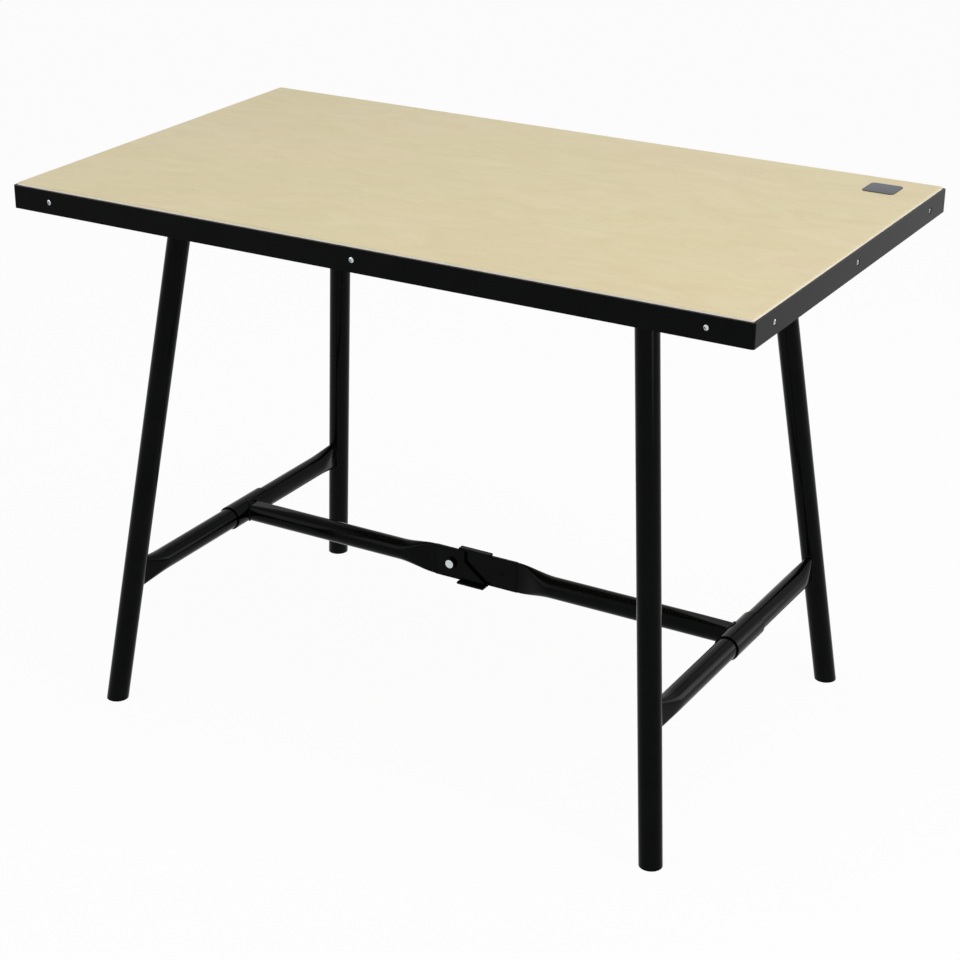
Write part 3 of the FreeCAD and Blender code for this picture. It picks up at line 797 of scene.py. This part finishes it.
def screw_seeds():
    """One point for each screw on the rim's four sides, with the turn that faces its head outward."""
    low, high = box_mm("front_rim")
    right_high = box_mm("right_rim")[1]
    rear_high = box_mm("rear_rim")[1]
    z = (low.z + high.z) / 2
    long_reach = high.x - LONG_SIDE_SCREW_INSET_MM
    short_reach = right_high.y - SHORT_SIDE_SCREW_INSET_MM
    seeds = []
    for y, normal in ((low.y, Vector((0, -1, 0))), (rear_high.y, Vector((0, 1, 0)))):
        seeds += [((x, y, z), normal) for x in (-long_reach, 0, long_reach)]
    for x, normal in ((-right_high.x, Vector((-1, 0, 0))), (right_high.x, Vector((1, 0, 0)))):
        seeds += [((x, y, z), normal) for y in (-short_reach, 0, short_reach)]
    mesh = bpy.data.meshes.new("screw_seeds")
    mesh.from_pydata([Vector(place) * MM for place, _ in seeds], [], [])
    turns = mesh.attributes.new("turn", "FLOAT_VECTOR", "POINT")
    for number, (_, normal) in enumerate(seeds):
        spin = Quaternion((0, 0, 1), number * TURN_STEP_RADIANS)
        turns.data[number].vector = (normal.to_track_quat("Z", "Y") @ spin).to_euler()
    return mesh


screw_head = bpy.data.objects.new("screw_head", make_screw_head())
bpy.context.scene.collection.objects.link(screw_head)
rows = grow(screw_seeds(), make_screw_group(), {"Screw": screw_head, "Material": zinc})
bpy.data.objects.remove(screw_head)
piece("recessed_rim_screws", rows, zinc, "tabletop", "zinc_steel", "rim_screws")
print("rim screws made,", len(rows.polygons), "faces")

# %% Weld beads
BEAD_RADIUS_MM = 2.0
BEAD_SPACING_MM = 2.6
SEAM_STEPS = 64


def meet_bar(start, direction, bar_point, bar_direction, radius):
    """Where a straight line first meets a round bar, or passes nearest to it."""
    way = direction - bar_direction * direction.dot(bar_direction)
    gap = start - bar_point
    gap = gap - bar_direction * gap.dot(bar_direction)
    a, b, c = way.dot(way), way.dot(gap), gap.dot(gap) - radius * radius
    root = math.sqrt(max(b * b - a * c, 0))
    return start + direction * ((-b - root) / a)


def seam_round_bar(centre, direction, radius, target_point, target_direction, target_radius):
    """The seam of one round tube that ends on another."""
    across = direction.orthogonal().normalized()
    up = direction.cross(across)
    angles = [2 * math.pi * step / SEAM_STEPS for step in range(SEAM_STEPS)]
    return [
        meet_bar(centre + (across * math.cos(angle) + up * math.sin(angle)) * radius, direction,
                 target_point, target_direction, target_radius)
        for angle in angles
    ]


def frame_seams(side):
    """Seams of one leg frame: each leg on the top tube, and each crushed end on its leg."""
    along_y = Vector((0, 1, 0))
    radius = TUBE_MM / 2
    seams = []
    for end in (-1, 1):
        mirror = Vector((side, end, 1))
        foot, top = LEG_FOOT_MM * mirror, LEG_TOP_MM * mirror
        leg = (top - foot).normalized()
        seams.append(seam_round_bar(foot, leg, radius, top, along_y, radius))
        share = smooth_share(1 - radius / STRETCHER_CRUSH_MM)
        inside = Vector((side * stretcher_centre.x, 0, STRETCHER_Z_MM))
        seams.append([
            meet_bar(inside + Vector((x, 0, z)), along_y * end, foot, leg, radius)
            for x, z in crushed_section(share, STRETCHER_FLAT_MM)
        ])
    return seams


def brace_seam(side):
    """The seam of a brace tube on its sleeve."""
    middle = Vector((0, BRACE_Y_MM, STRETCHER_Z_MM))
    outward = Vector((side, 0, 0))
    sleeve = Vector((side * stretcher_centre.x, BRACE_Y_MM, STRETCHER_Z_MM))
    along_y = Vector((0, 1, 0))
    return seam_round_bar(middle, outward, TUBE_MM / 2, sleeve, along_y, SLEEVE_RADIUS_MM)


def make_weld(name, body, seams):
    points = [point * MM for seam in seams for point in seam]
    edges = []
    first = 0
    for seam in seams:
        count = len(seam)
        edges += [(first + step, first + (step + 1) % count) for step in range(count)]
        first += count
    mesh = bpy.data.meshes.new(name)
    mesh.from_pydata(points, edges, [])
    values = {"Spacing": BEAD_SPACING_MM * MM, "Bead radius": BEAD_RADIUS_MM * MM, "Material": black_enamel}
    beads = grow(mesh, weld_group, values)
    piece(name, beads, black_enamel, body, "black_paint")
    return len(beads.polygons)


weld_group = make_weld_group()
for side_name, side in SIDES:
    frame_faces = make_weld(f"{side_name}_frame_welds", f"{side_name}_leg_frame", frame_seams(side))
    brace_faces = make_weld(f"{side_name}_brace_weld", f"{side_name}_brace", [brace_seam(side)])
    print(side_name, "welds made,", frame_faces + brace_faces, "faces")

# %% [markdown]
# ## Stage and light
#
# A product shot like this has a white floor that runs into a white background, with large soft
# lights. More light would make the floor white, but would wash out the table as well. So the floor
# glows, but only for the camera and in reflections, and a small part of it stays a plain diffuse
# surface that keeps the table's soft shadow.

# %% White stage
FLOOR_HALF_M = 14.0
GLOW_SHARE = 0.95
AMBIENT = 0.4


def camera_like_rays(tree):
    """One for camera, glossy and transmission rays, which should all see the white background."""
    path = add(tree, "ShaderNodeLightPath")
    first = add(tree, "ShaderNodeMath",
                {0: path.outputs["Is Camera Ray"], 1: path.outputs["Is Glossy Ray"]}, operation="MAXIMUM")
    both = add(tree, "ShaderNodeMath",
               {0: first.outputs[0], 1: path.outputs["Is Transmission Ray"]}, operation="MAXIMUM")
    return both.outputs[0]


def make_floor():
    mesh = bpy.data.meshes.new("floor")
    corners = [(x * FLOOR_HALF_M, y * FLOOR_HALF_M, 0) for x, y in ((-1, -1), (1, -1), (1, 1), (-1, 1))]
    mesh.from_pydata(corners, [], [(0, 1, 2, 3)])
    floor = bpy.data.objects.new("floor", mesh)
    bpy.context.scene.collection.objects.link(floor)
    material, tree, shader, _ = new_material("white_floor")
    wire(shader, values={"Base Color": linear("#f4f4f4"), "Roughness": 0.9, "Specular IOR Level": 0})
    glow = add(tree, "ShaderNodeEmission", values={"Color": linear("#ffffff"), "Strength": 1})
    share = add(tree, "ShaderNodeMath", {0: camera_like_rays(tree)}, {1: GLOW_SHARE}, operation="MULTIPLY")
    mixed = add(tree, "ShaderNodeMixShader",
                {0: share.outputs[0], 1: shader.outputs[0], 2: glow.outputs[0]})
    wire(tree.nodes["Material Output"], {"Surface": mixed.outputs[0]})
    mesh.materials.append(material)


def make_world():
    world = bpy.data.worlds.new("studio")
    bpy.context.scene.world = world
    world.use_nodes = True
    tree = world.node_tree
    level = add(tree, "ShaderNodeMapRange", {"Value": camera_like_rays(tree)},
                {"To Min": AMBIENT, "To Max": 1})
    wire(tree.nodes["Background"], {"Strength": level.outputs["Result"]}, {"Color": linear("#ffffff")})


make_floor()
make_world()
print("stage set")

# %% Soft lamps
# Each lamp has its place and the point that it faces, its width and height, all in metres, and watts.
LAMPS = {
    "overhead": ((0.7, -0.4, 3.4), (0.2, 0, 0.8), (3.2, 2.4), 41.5),
    "right_side": ((3.2, -0.9, 1.5), (0.2, 0, 0.5), (0.9, 2.0), 28),
    "left_front": ((-2.4, -2.8, 1.8), (-0.2, 0, 0.5), (1.8, 2.0), 20),
    "back_right": ((2.4, 2.5, 0.9), (0.4, 0, 0.3), (0.6, 1.6), 9),
}


def soft_box(name, place, target, size, watts):
    light = bpy.data.lights.new(name, "AREA")
    light.shape = "RECTANGLE"
    light.size, light.size_y = size
    light.energy = watts
    lamp = bpy.data.objects.new(name, light)
    bpy.context.scene.collection.objects.link(lamp)
    lamp.location = place
    lamp.rotation_euler = (Vector(target) - Vector(place)).to_track_quat("-Z", "Y").to_euler()


for name, settings in LAMPS.items():
    soft_box(name, *settings)
print(len(LAMPS), "lamps placed")

# %% [markdown]
# ## Camera
#
# The photograph was taken from the right front with a fairly long lens, looking down on the board.
# The camera could be placed by eye. These values were solved from the table's corners instead, so
# that the render lies over the photograph. The shift is there because the lens's axis doesn't pass
# through the middle of the picture.

# %% Camera at the photograph's place
CAMERA_PLACE_MM = (1635.1, -2843.8, 1792.9)
CAMERA_YAW_RADIANS = 0.5422
CAMERA_PITCH_RADIANS = 0.4231
LENS_MM = 85.15
SENSOR_MM = 36
PRINCIPAL_POINT_PX = (433.5, 511.4)
PICTURE_PX = 960

view = bpy.data.cameras.new("camera")
view.sensor_width = SENSOR_MM
view.sensor_fit = "HORIZONTAL"
view.lens = LENS_MM
view.shift_x = (PICTURE_PX / 2 - PRINCIPAL_POINT_PX[0]) / PICTURE_PX
view.shift_y = (PRINCIPAL_POINT_PX[1] - PICTURE_PX / 2) / PICTURE_PX
camera = bpy.data.objects.new("camera", view)
bpy.context.scene.collection.objects.link(camera)
camera.location = [value * MM for value in CAMERA_PLACE_MM]
camera.rotation_euler = (math.pi / 2 - CAMERA_PITCH_RADIANS, 0, CAMERA_YAW_RADIANS)
bpy.context.scene.camera = camera
bpy.context.scene.view_settings.view_transform = "Standard"
print("camera placed, lens of", LENS_MM, "mm")
